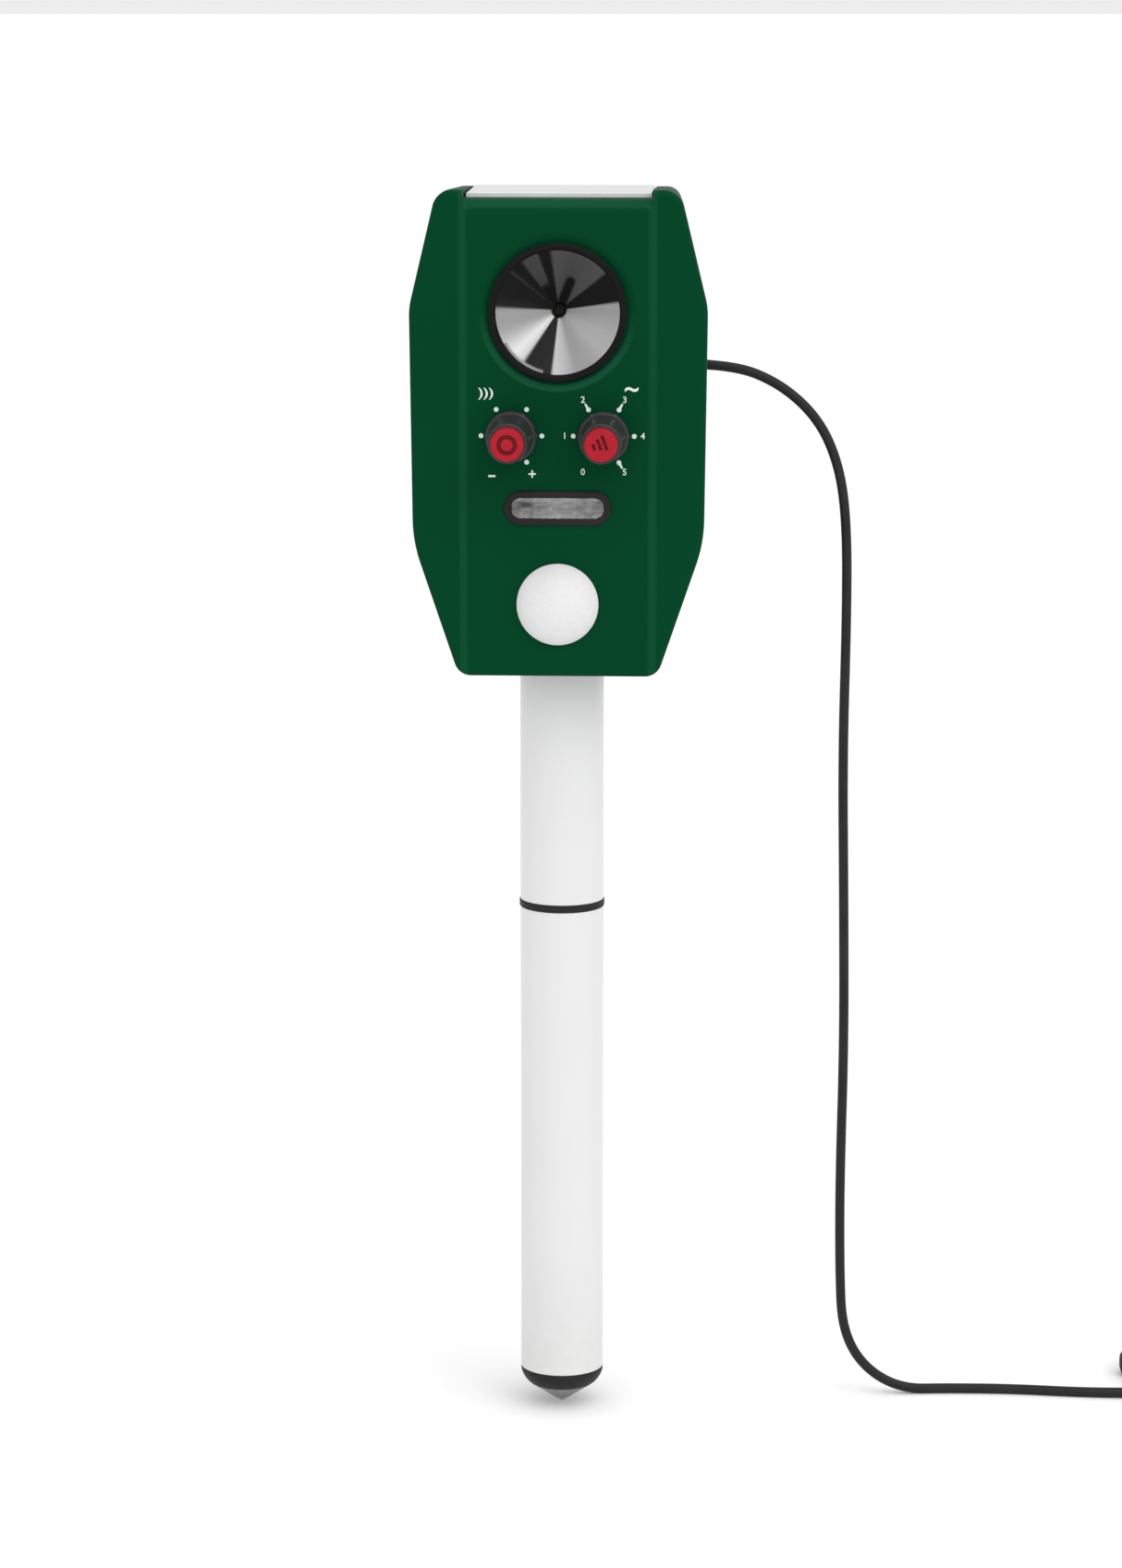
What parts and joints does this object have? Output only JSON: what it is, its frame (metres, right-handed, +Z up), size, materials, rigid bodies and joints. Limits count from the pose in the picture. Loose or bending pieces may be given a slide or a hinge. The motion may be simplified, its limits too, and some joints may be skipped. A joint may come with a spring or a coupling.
{
  "type": "ultrasonic pest repeller",
  "caption": "Garden stake with a green head that carries a solar panel, speaker, dials, flash lamps and a motion sensor, and drives pests away with sound.",
  "frame": {"origin": "tip of the stake, on the axis of its tubes", "axes": "+Z up along the stake, front of the head faces -Y, +X to the right seen from the front"},
  "size_m": [0.272, 0.151, 0.372],
  "materials": {
    "green_housing": "satin moulded",
    "white_lacquer": "satin lacquer on aluminium tube",
    "black_plastic": "fine moulded texture",
    "black_gloss": "gloss",
    "knob_black": "satin moulded",
    "cap_red": "satin moulded",
    "bright_aluminium": "turned, bright",
    "zinc": "cast zinc, dull",
    "steel": "nickel plated",
    "chrome_plating": "vacuum plated",
    "brass": "plain",
    "ferrite": "pressed ferrite and taped winding",
    "solar_glass": "clear resin over solar cells",
    "clear_lens": "clear ribbed plastic",
    "milky_lens": "milky polyethylene",
    "board_green": "solder mask",
    "cell_sleeve": "shrink sleeve",
    "grey_rubber": "moulded",
    "black_rubber": "moulded",
    "cord_jacket": "smooth PVC jacket"
  },
  "bodies": {
    "stake": {"lower_tube": "white_lacquer", "upper_tube": "white_lacquer", "tube_coupler": "black_plastic", "spike_cap": "black_plastic", "spike_point": "zinc", "tube_plug": "black_plastic"},
    "head": {"front_cover": "green_housing", "rear_cover": "green_housing", "housing_seal": "grey_rubber", "housing_screws": "steel", "solar_panel": "solar_glass", "solar_tape": "black_rubber", "speaker_bezel": "black_gloss", "speaker_cone": "bright_aluminium", "speaker_dome": "black_gloss", "speaker_frame": "black_plastic", "piezo_disc": "brass", "led_bezel": "black_plastic", "led_lens": "clear_lens", "led_reflector": "chrome_plating", "led_lamps": "clear_lens", "pir_lens": "milky_lens", "pir_retainer": "black_plastic", "pir_sensor": "steel", "main_board": "board_green", "board_screws": "steel", "board_capacitors": "black_gloss", "step_up_transformer": "ferrite", "driver_chip": "black_plastic", "sensitivity_pot": "steel", "frequency_switch": "black_plastic", "panel_nuts": "steel", "battery_tray": "black_plastic", "battery_cells": "cell_sleeve", "battery_contacts": "steel", "door_hinge_pin": "steel", "cord_grommet": "black_rubber", "cord_run": "cord_jacket", "cord_coil": "cord_jacket", "cord_tie": "black_plastic", "cord_tail": "cord_jacket", "plug_grip": "black_rubber", "plug_shell": "steel"},
    "sensitivity_dial": {"sensitivity_shaft": "steel", "sensitivity_knob": "knob_black", "sensitivity_cap": "cap_red"},
    "frequency_dial": {"frequency_shaft": "steel", "frequency_knob": "knob_black", "frequency_cap": "cap_red"},
    "door": {"battery_door": "green_housing", "door_seal": "grey_rubber"},
    "door_fastener": {"door_screw": "steel", "door_screw_washer": "black_rubber"}
  },
  "joints": [
    {"name": "head_turn", "type": "hinge", "parent": "stake", "child": "head", "pos_m": [0, 0, 0.265], "axis": [0, 0, 1], "continuous": true},
    {"name": "sensitivity_turn", "type": "hinge", "parent": "head", "child": "sensitivity_dial", "pos_m": [-0.01335, -0.03, 0.3015], "axis": [0, 1, 0], "range_deg": [0, 300]},
    {"name": "frequency_turn", "type": "hinge", "parent": "head", "child": "frequency_dial", "pos_m": [0.01335, -0.03, 0.3015], "axis": [0, 1, 0], "range_deg": [0, 300]},
    {"name": "door_swing", "type": "hinge", "parent": "head", "child": "door", "pos_m": [0, 0.0313, 0.343], "axis": [1, 0, 0], "range_deg": [0, 110]},
    {"name": "door_screw_turn", "type": "hinge", "parent": "door", "child": "door_fastener", "pos_m": [0, 0.03, 0.2805], "axis": [0, 1, 0], "continuous": true}
  ]
}
